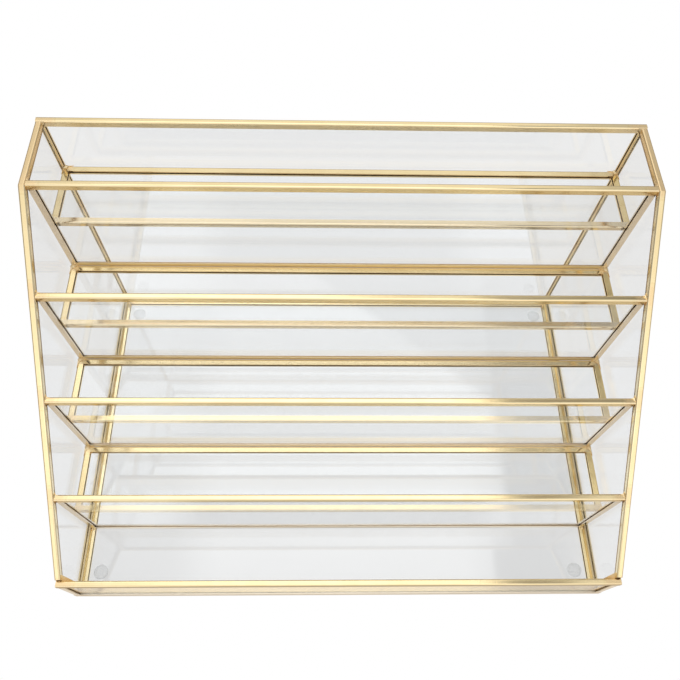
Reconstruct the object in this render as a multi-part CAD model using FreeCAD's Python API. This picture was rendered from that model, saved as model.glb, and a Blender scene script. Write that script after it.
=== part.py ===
"""Five-tier display rack: glass panes edged with slotted brass channel and soldered into a stepped case.

Millimetres, +Z up, front towards -Y. The origin is on the standing surface, under the middle of the
rack. Tiers, shelves and risers are counted from the top. Every edge channel is one U section, closed
side outwards, the risers stand on an angle, and the base ring is one L section made of a standing and a
lying U.
"""
import FreeCAD, Part
import math
import os

from FreeCAD import Vector

# Overall form
overall_width = 400.0      # outer face to outer face of the side frames
overall_depth = 265.0      # front face to back face
overall_height = 228.5     # standing surface to the top of the back rail
tier_count = 5
front_tier_depth = 49.6    # from the last riser's middle plane to the front lip's
lip_rise = 41.2            # from a shelf frame's top to the top of the rail in front of it

# Brass channel
channel_width = 4.4        # across the pane
channel_depth = 4.5        # from the closed side to the open side
channel_back = 1.0         # metal behind the pane's edge
channel_round = 1.2        # radius along the closed side's two edges
corner_lap = 1.5           # how far a standing channel laps the lying channel that it is soldered to

# Glass and its seat in the channel
glass_thickness = 2.0
face_clearance = 0.1       # between each face of a pane and its slot
edge_clearance = 0.3       # between a pane's edge and the bottom of its slot

# Bumper feet, stuck under the base plate
foot_diameter = 11.0
foot_flat = 6.0            # diameter of the flat that stands on the table
foot_height = 3.5          # from the table to the underside of the base plate
foot_bulge = 0.6           # how far the dome swells past a straight cone
foot_side_inset = 16.0     # from the rack's side to the middle of a foot
foot_end_inset = 17.5      # from the rack's front or back to the middle of a foot

# Values that follow from the sizes above
half_width = overall_width / 2
inner_half = half_width - channel_width
slot_width = glass_thickness + 2 * face_clearance
slot_depth = channel_depth - channel_back
seat = channel_back + edge_clearance
tier_depth = (overall_depth - channel_width - front_tier_depth) / (tier_count - 1)
back_face = overall_depth / 2
front_face = -overall_depth / 2
back_plane = back_face - channel_width / 2
lip_plane = front_face + channel_width / 2
riser_planes = [back_plane - (n + 1) * tier_depth for n in range(tier_count - 1)]

ring_bottom = foot_height - (channel_width - glass_thickness) / 2
ring_top = ring_bottom + channel_width
ring_crest = ring_top + channel_depth - corner_lap
ring_arm = ring_crest - ring_bottom    # both arms of the base ring's section
crown = overall_height
step_rise = (crown - lip_rise - ring_top) / (tier_count - 1)
shelf_tops = [ring_top + (tier_count - 1 - n) * step_rise for n in range(tier_count - 1)]
rail_tops = [top + lip_rise for top in shelf_tops]

# The slanted edge is one straight line over the front edges of all the top rails
slope = step_rise / tier_depth
lip_top = rail_tops[-1] - slope * front_tier_depth
slant_length = math.hypot(tier_depth, step_rise)
slant_up = Vector(0, tier_depth / slant_length, step_rise / slant_length)
slant_in = Vector(0, step_rise / slant_length, -tier_depth / slant_length)

RIGHT = Vector(1, 0, 0)
BACK = Vector(0, 1, 0)
UP = Vector(0, 0, 1)
LEFT = RIGHT * -1
FRONT = BACK * -1
DOWN = UP * -1
REACH = overall_width + overall_depth + crown


def only_solid(shape):
    """The one solid that a cut has left."""
    if len(shape.Solids) != 1:
        raise ValueError("expected one solid, found %d" % len(shape.Solids))
    return shape.Solids[0]


def outline_face(points, arcs):
    """A flat face round the points; arcs maps a point's index to the middle of an arc from it to the next."""
    edges = []
    for index, start in enumerate(points):
        end = points[(index + 1) % len(points)]
        if index in arcs:
            edges.append(Part.Arc(start, arcs[index], end).toShape())
        else:
            edges.append(Part.LineSegment(start, end).toShape())
    return Part.Face(Part.Wire(edges))


def rounded_middle(centre, direction):
    """The middle of the rounded edge about a centre, on the side that the direction points to."""
    return centre + direction.normalize() * channel_round


def edge_section():
    """U section: x across the pane about its middle, y from the closed side to the open side."""
    half = channel_width / 2
    slot = slot_width / 2
    points = [
        Vector(-half, channel_round), Vector(-half + channel_round, 0),
        Vector(half - channel_round, 0), Vector(half, channel_round),
        Vector(half, channel_depth), Vector(slot, channel_depth),
        Vector(slot, channel_back), Vector(-slot, channel_back),
        Vector(-slot, channel_depth), Vector(-half, channel_depth),
    ]
    near = Vector(-half + channel_round, channel_round)
    far = Vector(half - channel_round, channel_round)
    arcs = {0: rounded_middle(near, Vector(-1, -1)), 2: rounded_middle(far, Vector(1, -1))}
    return outline_face(points, arcs)


def corner_section():
    """L section with two like arms: a standing U along y at the outside and a lying U along x at its foot."""
    middle = channel_width / 2
    slot = slot_width / 2
    slot_end = ring_arm - slot_depth
    points = [
        Vector(0, channel_round), Vector(channel_round, 0),
        Vector(ring_arm, 0), Vector(ring_arm, middle - slot),
        Vector(slot_end, middle - slot), Vector(slot_end, middle + slot),
        Vector(ring_arm, middle + slot), Vector(ring_arm, channel_width),
        Vector(channel_width, channel_width), Vector(channel_width, ring_arm),
        Vector(middle + slot, ring_arm), Vector(middle + slot, slot_end),
        Vector(middle - slot, slot_end), Vector(middle - slot, ring_arm),
        Vector(0, ring_arm),
    ]
    centre = Vector(channel_round, channel_round)
    return outline_face(points, {0: rounded_middle(centre, Vector(-1, -1))})


def foot_section():
    """Angle for a riser's foot: x across the pane about its middle, with the upright flange at the front."""
    half = channel_width / 2
    slot = slot_width / 2
    points = [
        Vector(-half, channel_round), Vector(-half + channel_round, 0),
        Vector(half, 0), Vector(half, channel_back), Vector(-slot, channel_back),
        Vector(-slot, channel_depth), Vector(-half, channel_depth),
    ]
    centre = Vector(-half + channel_round, channel_round)
    return outline_face(points, {0: rounded_middle(centre, Vector(-1, -1))})


def bar(section, start, first, second, length):
    """A section swept from start; its x and y turn to first and second, and it runs along first x second."""
    along = first.cross(second)
    turn = FreeCAD.Matrix(
        first.x, second.x, along.x, start.x,
        first.y, second.y, along.y, start.y,
        first.z, second.z, along.z, start.z,
        0, 0, 0, 1)
    swept = section.extrude(Vector(0, 0, length))
    swept.Placement = FreeCAD.Placement(turn)
    return swept


def trim(shape, point, outward):
    """Saws off all that lies past the plane through point, on the side that outward points to."""
    waste = Part.makeBox(2 * REACH, 2 * REACH, REACH, Vector(-REACH, -REACH, 0))
    waste.Placement = FreeCAD.Placement(point, FreeCAD.Rotation(UP, outward))
    return only_solid(shape.cut(waste))


def slab(low, high):
    """A flat rectangular pane between two opposite corners."""
    size = high - low
    return Part.makeBox(size.x, size.y, size.z, low)


def mirrored(shape):
    """The right-hand twin of a left-hand piece."""
    return shape.mirror(Vector(0, 0, 0), RIGHT)


def add_pair(nodes, name, left_piece):
    """Adds a left-hand piece and its right-hand twin."""
    nodes["left_" + name] = left_piece
    nodes["right_" + name] = mirrored(left_piece)


def base_ring(nodes):
    """Four corner channels, mitred, that hold the base plate and the feet of the outer panes."""
    section = corner_section()
    rear_left = Vector(-half_width, back_face, ring_bottom)
    rear_right = Vector(half_width, back_face, ring_bottom)
    front_left = Vector(-half_width, front_face, ring_bottom)
    front_right = Vector(half_width, front_face, ring_bottom)

    side = bar(section, rear_left, RIGHT, UP, overall_depth)
    side = trim(side, rear_left, RIGHT + BACK)
    side = trim(side, front_left, RIGHT + FRONT)
    add_pair(nodes, "base_rail", side)

    rear = bar(section, rear_right, FRONT, UP, overall_width)
    rear = trim(rear, rear_left, LEFT + FRONT)
    nodes["base_rear_rail"] = trim(rear, rear_right, RIGHT + FRONT)

    front = bar(section, front_left, BACK, UP, overall_width)
    front = trim(front, front_left, LEFT + BACK)
    nodes["base_front_rail"] = trim(front, front_right, RIGHT + BACK)


def outer_posts(nodes):
    """Edge channels up the corners; they hold the back pane and the front lip, and the side panes butt on them."""
    section = edge_section()
    for name, plane, top in (("back_post", back_plane, crown), ("lip_post", lip_plane, lip_top)):
        head = Vector(-half_width, plane, top - channel_depth)
        add_pair(nodes, name, bar(section, head, BACK, RIGHT, head.z - ring_crest))


def outer_rails(nodes):
    """Full-width rails at the top of the back and of the front lip, and the rails along the side panes."""
    section = edge_section()
    nodes["top_back_rail"] = bar(section, Vector(half_width, back_plane, crown), BACK, DOWN, overall_width)
    nodes["front_lip_rail"] = bar(section, Vector(half_width, lip_plane, lip_top), BACK, DOWN, overall_width)

    side_plane = -half_width + channel_width / 2
    elbow = Vector(side_plane, riser_planes[0] - channel_width / 2, crown)
    mitre = slant_up + BACK
    top_rail = bar(section, elbow, RIGHT, DOWN, back_plane - channel_width / 2 - elbow.y)
    add_pair(nodes, "top_rail", trim(top_rail, elbow, mitre * -1))

    foot = Vector(side_plane, front_face, lip_top) - slant_up * channel_depth
    slanted_rail = bar(section, foot, RIGHT, slant_in, (elbow - foot).Length)
    slanted_rail = trim(slanted_rail, elbow, mitre)
    lip_rail_back = Vector(side_plane, front_face + channel_width, lip_top)
    add_pair(nodes, "slanted_rail", trim(slanted_rail, lip_rail_back, FRONT))


def outer_panes(nodes):
    """Base plate, back pane, front lip and the two five-sided side panes."""
    plate_inset = ring_arm - slot_depth + edge_clearance
    plate_half = half_width - plate_inset
    plate_end = back_face - plate_inset
    half_glass = glass_thickness / 2
    plate_middle = ring_bottom + channel_width / 2
    nodes["base_plate"] = slab(
        Vector(-plate_half, -plate_end, plate_middle - half_glass),
        Vector(plate_half, plate_end, plate_middle + half_glass))

    pane_half = half_width - seat
    foot_of_pane = ring_crest - channel_depth + seat
    nodes["back_pane"] = slab(
        Vector(-pane_half, back_plane - half_glass, foot_of_pane),
        Vector(pane_half, back_plane + half_glass, crown - seat))
    nodes["front_lip_pane"] = slab(
        Vector(-pane_half, lip_plane - half_glass, foot_of_pane),
        Vector(pane_half, lip_plane + half_glass, lip_top - seat))

    outer_x = -half_width + channel_width / 2 - half_glass
    rear_edge = back_face - channel_width - face_clearance
    front_edge = front_face + channel_width + face_clearance
    slant_point = Vector(0, front_face, lip_top) + slant_in * seat
    front_height = slant_point.z + (front_edge - slant_point.y) * slope
    top_edge = crown - seat
    shoulder = slant_point.y + (top_edge - slant_point.z) / slope
    corners = [
        Vector(outer_x, front_edge, foot_of_pane), Vector(outer_x, rear_edge, foot_of_pane),
        Vector(outer_x, rear_edge, top_edge), Vector(outer_x, shoulder, top_edge),
        Vector(outer_x, front_edge, front_height),
    ]
    side_pane = outline_face(corners, {}).extrude(RIGHT * glass_thickness)
    add_pair(nodes, "side_pane", side_pane)


def riser(nodes, number):
    """An upright framed pane: the lip of its own tier and the back wall of the tier below."""
    name = "riser_%d_" % (number + 1)
    section = edge_section()
    plane = riser_planes[number]
    top = rail_tops[number]
    lowest = number == tier_count - 2
    foot = ring_top if lowest else shelf_tops[number + 1] - corner_lap
    length = 2 * inner_half
    nodes[name + "top_rail"] = bar(section, Vector(inner_half, plane, top), BACK, DOWN, length)

    # The upright flange stops short of the side rails, which stand on the lying flange
    foot_rail = bar(foot_section(), Vector(-inner_half, plane, foot), BACK, UP, length)
    for end in (-inner_half, inner_half - channel_depth):
        notch = slab(Vector(end, plane - channel_width / 2, foot + channel_back),
                     Vector(end + channel_depth, plane, foot + channel_depth))
        foot_rail = only_solid(foot_rail.cut(notch))
    nodes[name + "foot_rail"] = foot_rail

    side_top = top - channel_depth
    side_length = side_top - foot - channel_back
    side = bar(section, Vector(-inner_half, plane, side_top), BACK, RIGHT, side_length)
    nodes[name + "left_rail"] = side
    nodes[name + "right_rail"] = mirrored(side)

    pane_half = inner_half - seat
    half_glass = glass_thickness / 2
    nodes[name + "pane"] = slab(
        Vector(-pane_half, plane - half_glass, foot + seat),
        Vector(pane_half, plane + half_glass, top - seat))


def shelf(nodes, number):
    """A level framed pane between two risers."""
    name = "shelf_%d_" % (number + 1)
    section = edge_section()
    wall_behind = back_plane if number == 0 else riser_planes[number - 1]
    rear = wall_behind - channel_width / 2
    front = riser_planes[number] + channel_width / 2
    middle = shelf_tops[number] - channel_width / 2
    length = 2 * inner_half
    nodes[name + "rear_rail"] = bar(section, Vector(-inner_half, rear, middle), UP, FRONT, length)
    nodes[name + "front_rail"] = bar(section, Vector(inner_half, front, middle), UP, BACK, length)

    side_start = Vector(-inner_half, front + channel_depth, middle)
    side = bar(section, side_start, UP, RIGHT, rear - front - 2 * channel_depth)
    nodes[name + "left_rail"] = side
    nodes[name + "right_rail"] = mirrored(side)

    pane_half = inner_half - seat
    half_glass = glass_thickness / 2
    nodes[name + "pane"] = slab(
        Vector(-pane_half, front + seat, middle - half_glass),
        Vector(pane_half, rear - seat, middle + half_glass))


def bumper_feet(nodes):
    """Four clear domes under the corners of the base plate, flat where they stand."""
    rim = Vector(foot_diameter / 2, 0, foot_height)
    tread = Vector(foot_flat / 2, 0, 0)
    flank = rim - tread
    outward = Vector(flank.z, 0, -flank.x).normalize()
    swell = (rim + tread) * 0.5 + outward * foot_bulge
    axis_top = Vector(0, 0, foot_height)
    outline = outline_face([Vector(0, 0, 0), tread, rim, axis_top], {1: swell})
    dome = outline.revolve(Vector(0, 0, 0), UP, 360)
    feet = []
    for side in (-1, 1):
        for end in (-1, 1):
            foot = dome.copy()
            foot.translate(Vector(side * (half_width - foot_side_inset), end * (back_face - foot_end_inset), 0))
            feet.append(foot)
    nodes["bumper_feet"] = Part.makeCompound(feet)


def build():
    """All the pieces of the rack by name."""
    nodes = {}
    base_ring(nodes)
    outer_posts(nodes)
    outer_rails(nodes)
    outer_panes(nodes)
    for number in range(tier_count - 1):
        riser(nodes, number)
        shelf(nodes, number)
    bumper_feet(nodes)
    return nodes


os.makedirs("parts", exist_ok=True)
for node_name, node_shape in build().items():
    node_shape.exportStep(os.path.join("parts", node_name + ".step"))
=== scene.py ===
"""Looks of the tiered display rack: polished brass channel, clear glass, soldered joints and clear bumpers."""
import math
from collections import namedtuple

import bmesh
import bpy
from mathutils import Euler, Matrix, Vector, noise


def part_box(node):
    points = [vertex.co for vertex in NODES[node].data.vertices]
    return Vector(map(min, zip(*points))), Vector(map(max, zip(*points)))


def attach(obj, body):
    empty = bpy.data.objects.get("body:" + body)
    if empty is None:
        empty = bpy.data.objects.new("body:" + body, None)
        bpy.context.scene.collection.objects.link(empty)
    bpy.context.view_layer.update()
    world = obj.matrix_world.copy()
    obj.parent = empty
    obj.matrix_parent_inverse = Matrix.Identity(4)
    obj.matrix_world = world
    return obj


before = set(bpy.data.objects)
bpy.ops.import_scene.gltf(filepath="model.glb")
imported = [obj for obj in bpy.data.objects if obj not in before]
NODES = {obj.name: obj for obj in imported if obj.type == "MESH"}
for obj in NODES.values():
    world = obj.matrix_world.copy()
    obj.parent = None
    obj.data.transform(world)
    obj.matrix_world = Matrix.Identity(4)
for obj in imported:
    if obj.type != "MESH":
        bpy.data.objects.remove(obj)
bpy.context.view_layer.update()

bl_info = {
    "name": "Tiered Display Rack Looks",
    "version": (1, 0, 0),
    "blender": (4, 5, 0),
    "location": "View3D > Sidebar > Rack",
    "description": "Finishes the brass and glass of a stepped display rack and adds its solder",
    "category": "Object",
}

TIERS = range(1, 5)
MM = 0.001


def middle(name):
    """Middle of a CAD node's box."""
    low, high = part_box(name)
    return (low + high) / 2


# Sizes read from the frame, in metres; lists run from the top tier to the lowest
HALF_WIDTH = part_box("top_back_rail")[1].x
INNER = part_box("riser_1_top_rail")[1].x
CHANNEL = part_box("riser_1_top_rail")[1].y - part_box("riser_1_top_rail")[0].y
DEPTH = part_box("riser_1_top_rail")[1].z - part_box("riser_1_top_rail")[0].z
RISERS = [middle("riser_%d_top_rail" % n).y for n in TIERS]
SHELVES = [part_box("shelf_%d_rear_rail" % n)[1].z for n in TIERS]
CRESTS = [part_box("riser_%d_top_rail" % n)[1].z for n in TIERS]
BACK = middle("top_back_rail").y
LIP = middle("front_lip_rail").y
LIP_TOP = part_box("front_lip_rail")[1].z
RING_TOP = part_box("riser_4_foot_rail")[0].z
TIER_DEPTH = RISERS[0] - RISERS[1]
STEP_RISE = SHELVES[0] - SHELVES[1]
SLANT = math.atan2(STEP_RISE, TIER_DEPTH)

# Directions
UP, DOWN = Vector((0, 0, 1)), Vector((0, 0, -1))
AHEAD, BEHIND = Vector((0, -1, 0)), Vector((0, 1, 0))
SLANT_UP = Vector((0, math.cos(SLANT), math.sin(SLANT)))
SLANT_IN = Vector((0, math.sin(SLANT), -math.cos(SLANT)))
INWARD = "inward"

# Share of the brass that each mark on it covers
MOTTLE_COVER, SPOT_COVER, TINT_COVER, TINT_EDGE_COVER = 0.3, 0.2, 0.85, 0.4
WEAR_COVER, TONE_COVER, STAIN_AND_SHADE_COVER, SHADE_BAND_COVER = 0.3, 0.85, 0.92, 0.78

# Roughness of polished brass, and how much each mark changes it
POLISH, LINES_ROUGHER, TINT_ROUGHER, WEAR_SMOOTHER, STAIN_AND_SHADE_ROUGHER = 0.1, 0.05, 0.1, 0.05, 0.3
MATTE = 0.2

# Widths over which the marks on the brass fade out
STAIN_AND_SHADE_FROM, STAIN_AND_SHADE_TO, SHADE_BAND_EDGE, TONE_EDGE = 1.4 * MM, 1.9 * MM, 0.5 * MM, 0.3 * MM

# Fillets of solder: how far the corner lies from the rail's end, inside its face and below its top, the reach
# across and along as shares of the fillet reach, and the height
Fillet = namedtuple("Fillet", "inset inside below across along height")
CREST = Fillet(0.0, 0.6 * MM, 0.3 * MM, 1.0, 1.0, 1.8 * MM)
# Dark fillets in the front corners: partly charred flux, partly painted shade in the corner
CREST_BURN_SHADE = Fillet(0.0, 0.4 * MM, 1.3 * MM, 0.6, 0.6, 2.6 * MM)
CREST_TOP = Fillet(0.0, 0.2 * MM, 0.2 * MM, 0.9, 0.25, 2.2 * MM)
LIP_WEDGE = Fillet(0.0, 0.5 * MM, 0.3 * MM, 3.2, 1.9, 1.8 * MM)
SHELF_CORNER = Fillet(0.2 * MM, 0.0, -0.3 * MM, 2.6, 2.8, 0.6 * MM)
SHELF_BURN_SHADE = Fillet(DEPTH, 0.0, 0.1 * MM, 1.1, 0.8, 0.9 * MM)

# Beads of solder: how far the middle lies from the rail's end and in front of the corner, and the size as
# shares of the bead radius
Bead = namedtuple("Bead", "inset ahead size")
SHELF_BEAD = Bead(1.8 * MM, 1.0 * MM, Vector((1.6, 1.3, 0.6)))
RING_BEAD = Bead(0.6 * MM, 0.0, Vector((1.2, 1.1, 0.8)))
SLANT_FOOT_BEAD = Bead(CHANNEL / 2, 0.2 * MM, Vector((1.2, 0.7, 0.6)))
BEAD_RAISED = 0.2 * MM

# Fills of the rails' open ends, and dark strips of painted shade in the gaps between the side panes and the
# posts
END_FILL, FILL_SUNK, FILL_DROP, FILL_SHIFT = Vector((1.4, 2.1, 3.4)) * MM, 0.5 * MM, 2.75 * MM, 0.5 * MM
GAP_SHADE_WIDTH, GAP_SHADE_DEPTH, GAP_SHADE_FOOT, GAP_SHADE_HEAD = 1.0 * MM, 0.8 * MM, 3.5 * MM, 1.0 * MM

# Lumps of all solder and of beads, and the turn in radians from which an edge of solder is sharp
LUMPS_PER_METRE, LUMP_HEIGHT = 1100.0, 0.1 * MM
BEAD_LUMPS, BEAD_LUMP_SHARE, BEAD_VARIETY = 1.6, 0.25, 90.0
SHARP_TURN = 0.9


class RackFinish(bpy.types.PropertyGroup):
    """Colours of the rack's finishes, and lighter and darker copies of the brass that paint light and shade."""

    brass: bpy.props.FloatVectorProperty(
        name="Brass", description="Clean polished channel",
        subtype="COLOR", size=3, min=0, max=1, default=(0.90, 0.74, 0.435))
    deep_brass: bpy.props.FloatVectorProperty(
        name="Deep brass", description="Channel where it has toned down",
        subtype="COLOR", size=3, min=0, max=1, default=(0.79, 0.60, 0.30))
    # Rounded edges kept bright by wear; the same light brass is painted light on the back rail's front face and
    # the slanted rails' inner wall
    worn_and_lit: bpy.props.FloatVectorProperty(
        name="Worn edges", description="Rounded edges that handling keeps bright",
        subtype="COLOR", size=3, min=0, max=1, default=(0.96, 0.86, 0.62))
    heat: bpy.props.FloatVectorProperty(
        name="Heat tint", description="Copper tint that the torch leaves beside a joint",
        subtype="COLOR", size=3, min=0, max=1, default=(0.885, 0.665, 0.375))
    # Light brown of the lip ends beside the glass: stained metal, and painted shade of the slot between lip and
    # pane
    stain_and_shade: bpy.props.FloatVectorProperty(
        name="Stain", description="Light brown stain on the lips of the channel, beside the glass",
        subtype="COLOR", size=3, min=0, max=1, default=(0.69, 0.40, 0.15))
    patina: bpy.props.FloatVectorProperty(
        name="Patina", description="Dark brown stain on the lips near a joint",
        subtype="COLOR", size=3, min=0, max=1, default=(0.13, 0.07, 0.028))
    # Painted shade: a darker copy of the brass, also made rougher, for the lip rail's front and the walls of
    # the side base rails
    dull_shaded: bpy.props.FloatVectorProperty(
        name="Dull brass", description="Metal that polishing has not reached",
        subtype="COLOR", size=3, min=0, max=1, default=(0.60, 0.49, 0.31))
    # Painted light: a paler, washed-out copy of the brass for the riser sides, the lower feet and the base
    # front rail's face
    lit_pale: bpy.props.FloatVectorProperty(
        name="Pale brass", description="Metal bleached by cleaning, low down at the front",
        subtype="COLOR", size=3, min=0, max=1, default=(0.84, 0.77, 0.66))
    # Painted shade: a greyer, darker copy of the brass for the two upper foot rails
    foot: bpy.props.FloatVectorProperty(
        name="Upper feet", description="Foot rails of the two upper risers",
        subtype="COLOR", size=3, min=0, max=1, default=(0.79, 0.67, 0.46))
    # Painted shade: a darker copy of the brass for the third shelf's rear rail
    shaded_third_rear: bpy.props.FloatVectorProperty(
        name="Third rear rail", description="Rear rail of the third shelf",
        subtype="COLOR", size=3, min=0, max=1, default=(0.69, 0.57, 0.35))
    # Painted reflection: a paler, greyer copy of the brass for the two upper front rails, for the haze of light
    # that the glass over them reflects
    hazed_upper_front: bpy.props.FloatVectorProperty(
        name="Upper front rails", description="Front rails of the two upper shelves",
        subtype="COLOR", size=3, min=0, max=1, default=(0.82, 0.70, 0.50))
    # Painted light: a brighter copy of the brass for the right shelf rails, which reflect a darker part of the
    # room
    lit_right_shelf: bpy.props.FloatVectorProperty(
        name="Right shelf rails", description="Right side rails of the shelves",
        subtype="COLOR", size=3, min=0, max=1, default=(1.0, 0.79, 0.40))
    # Painted light: a near-white copy of the brass for the lip posts' front faces
    lit_lip_post: bpy.props.FloatVectorProperty(
        name="Lip posts", description="Front faces of the lip posts",
        subtype="COLOR", size=3, min=0, max=1, default=(0.98, 0.93, 0.84))
    # Painted light: lighter copies of the brass for the tops of the side base rails
    lit_left_base: bpy.props.FloatVectorProperty(
        name="Left base rail", description="Top of the left base rail",
        subtype="COLOR", size=3, min=0, max=1, default=(0.98, 0.83, 0.51))
    lit_right_base: bpy.props.FloatVectorProperty(
        name="Right base rail", description="Top of the right base rail",
        subtype="COLOR", size=3, min=0, max=1, default=(1.0, 0.83, 0.47))
    solder: bpy.props.FloatVectorProperty(
        name="Solder", description="Filler metal in the joints",
        subtype="COLOR", size=3, min=0, max=1, default=(0.90, 0.72, 0.44))
    # Painted shade: colour of the dark strips in the gaps between the side panes and the posts
    gap_shade: bpy.props.FloatVectorProperty(
        name="Seal", description="Painted gap shade between the ends of the side panes and the posts",
        subtype="COLOR", size=3, min=0, max=1, default=(0.36, 0.32, 0.21))
    glass: bpy.props.FloatVectorProperty(
        name="Glass", description="Tint of the panes",
        subtype="COLOR", size=3, min=0, max=1, default=(0.965, 0.972, 0.975))
    glass_shadow: bpy.props.FloatVectorProperty(
        name="Glass shadow", description="Light that a pane lets through to what lies behind it",
        subtype="COLOR", size=3, min=0, max=1, default=(0.93, 0.935, 0.935))
    rubber: bpy.props.FloatVectorProperty(
        name="Bumper", description="Tint of the clear bumpers",
        subtype="COLOR", size=3, min=0, max=1, default=(0.80, 0.82, 0.83))


class RackSolder(bpy.types.PropertyGroup):
    """Sizes of the solder in the joints."""

    reach: bpy.props.FloatProperty(
        name="Fillet reach", description="How far a fillet runs out along each rail",
        unit="LENGTH", min=0.0005, max=0.006, default=0.0028)
    bead: bpy.props.FloatProperty(
        name="Bead radius", description="Size of a bead in a corner",
        unit="LENGTH", min=0.0003, max=0.004, default=0.0012)
    tint_reach: bpy.props.FloatProperty(
        name="Tint reach", description="How far the heat tint runs from a joint",
        unit="LENGTH", min=0.002, max=0.05, default=0.0085)


class RackStage(bpy.types.PropertyGroup):
    """Camera, light and floor."""

    lens: bpy.props.FloatProperty(
        name="Lens", description="Focal length on a 36 mm sensor",
        unit="CAMERA", min=10, max=200, default=35.774)
    place: bpy.props.FloatVectorProperty(
        name="Camera place", description="Where the camera stands",
        subtype="TRANSLATION", unit="LENGTH", size=3, default=(-0.01325, -0.20148, 0.5523))
    turn: bpy.props.FloatVectorProperty(
        name="Camera turn", description="How the camera is turned", subtype="EULER", unit="ROTATION", size=3,
        default=(math.radians(27.8446), math.radians(-1.3393), math.radians(-0.4503)))
    sky: bpy.props.FloatProperty(
        name="Room light", description="Strength of the light from all round", min=0, max=10, default=1.0)
    panel: bpy.props.FloatProperty(
        name="Lit panel", description="Strength of the lit panel overhead", min=0, max=10, default=0.9)
    fill: bpy.props.FloatProperty(
        name="Front fill", description="Strength of the soft lamp in front",
        subtype="POWER", min=0, max=500, default=0.6)
    fill_width: bpy.props.FloatProperty(
        name="Fill width", description="Width of the soft lamp", unit="LENGTH", min=0.1, max=5, default=1.6)
    fill_height: bpy.props.FloatProperty(
        name="Fill height", description="Height of the soft lamp", unit="LENGTH", min=0.1, max=5, default=0.5)
    fill_place: bpy.props.FloatVectorProperty(
        name="Fill place", description="Where the soft lamp hangs",
        subtype="TRANSLATION", unit="LENGTH", size=3, default=(-0.1, -1.8, 1.1))
    fill_target: bpy.props.FloatVectorProperty(
        name="Fill target", description="The point that the soft lamp shines at",
        subtype="TRANSLATION", unit="LENGTH", size=3, default=(0.0, 0.0, 0.1))
    floor: bpy.props.FloatVectorProperty(
        name="Floor", description="Colour of the floor",
        subtype="COLOR", size=3, min=0, max=1, default=(0.76, 0.76, 0.765))
    floor_reach: bpy.props.FloatProperty(
        name="Floor reach", description="Distance from the rack to the floor's edges",
        unit="LENGTH", min=1, max=10, default=3.0)
    # Painted light: through glass and in reflections the floor partly or wholly glows at set levels, not lit by
    # the lamps
    floor_glow: bpy.props.FloatProperty(
        name="Floor glow", description="Share of the white floor that shows through glass",
        min=0, max=1, default=0.72)
    mirrored_floor: bpy.props.FloatProperty(
        name="Mirrored floor", description="Brightness of the floor under the rack in polished metal",
        min=0, max=2, default=0.42)
    mirrored_beside: bpy.props.FloatVectorProperty(
        name="Mirrored beside", description="Colour of the floor beside the rack in polished metal",
        subtype="COLOR", size=3, min=0, max=1, default=(0.74, 0.66, 0.56))


def node(tree, kind, inputs=None, **settings):
    """A shader node with its settings and its inputs, which are values or the sockets that feed them."""
    made = tree.nodes.new("ShaderNode" + kind)
    for key, value in settings.items():
        setattr(made, key, value)
    for key, value in (inputs or {}).items():
        if isinstance(value, bpy.types.NodeSocket):
            tree.links.new(value, made.inputs[key])
        else:
            made.inputs[key].default_value = value
    return made


def calc(tree, operation, *values):
    """Output of a Math node."""
    return node(tree, "Math", dict(enumerate(values)), operation=operation).outputs[0]


def product(tree, *masks):
    """All the masks multiplied together."""
    total = masks[0]
    for mask in masks[1:]:
        total = calc(tree, "MULTIPLY", total, mask)
    return total


def dot(tree, first, second):
    """Output of a dot product."""
    return node(tree, "VectorMath", {0: first, 1: second}, operation="DOT_PRODUCT").outputs["Value"]


def remap(tree, value, low, high, to_low=0.0, to_high=1.0, smooth=True):
    """Output of a Map Range node, clamped."""
    kind = "SMOOTHSTEP" if smooth else "LINEAR"
    made = node(tree, "MapRange", {0: value, 1: low, 2: high, 3: to_low, 4: to_high}, interpolation_type=kind)
    return made.outputs[0]


def fall(tree, value, low, high):
    """A mask that falls from 1 to 0 between two levels."""
    return remap(tree, value, low, high, 1.0, 0.0)


def dim(tree, mask, level):
    """A factor of 1 that sinks to a level where the mask is 1."""
    return remap(tree, mask, 0.0, 1.0, 1.0, level)


def blend(tree, factor, first, second):
    """Output of a colour Mix node."""
    made = node(tree, "Mix", {"Factor": factor}, data_type="RGBA", clamp_factor=True)
    for socket, value in zip((made.inputs[6], made.inputs[7]), (first, second)):
        if isinstance(value, bpy.types.NodeSocket):
            tree.links.new(value, socket)
        else:
            socket.default_value = value
    return made.outputs[2]


def cover(tree, mask, share, under, over):
    """One colour laid over another where the mask is, to a share of it."""
    return blend(tree, calc(tree, "MULTIPLY", mask, share), under, over)


def grey(tree, value):
    """A grey of one value."""
    return node(tree, "CombineColor", {0: value, 1: value, 2: value}).outputs[0]


def colour(values):
    """A property's colour with full alpha."""
    return (*values, 1.0)


def group(name, inputs, outputs):
    """A new node group with its sockets, and its input and output nodes."""
    tree = bpy.data.node_groups.new(name, "ShaderNodeTree")
    for socket, kind in inputs:
        tree.interface.new_socket(socket, in_out="INPUT", socket_type="NodeSocket" + kind)
    for socket, kind in outputs:
        tree.interface.new_socket(socket, in_out="OUTPUT", socket_type="NodeSocket" + kind)
    return tree, tree.nodes.new("NodeGroupInput").outputs, tree.nodes.new("NodeGroupOutput").inputs


def new_material(name):
    """A material with no nodes, and its node tree."""
    material = bpy.data.materials.new(name)
    material.use_nodes = True
    material.node_tree.nodes.clear()
    return material, material.node_tree


def show(tree, shader):
    """Puts a shader on the surface."""
    node(tree, "OutputMaterial", {"Surface": shader.outputs[0]})


def give(material, *names):
    """Puts one material on CAD nodes."""
    for name in names:
        NODES[name].data.materials.clear()
        NODES[name].data.materials.append(material)


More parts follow.
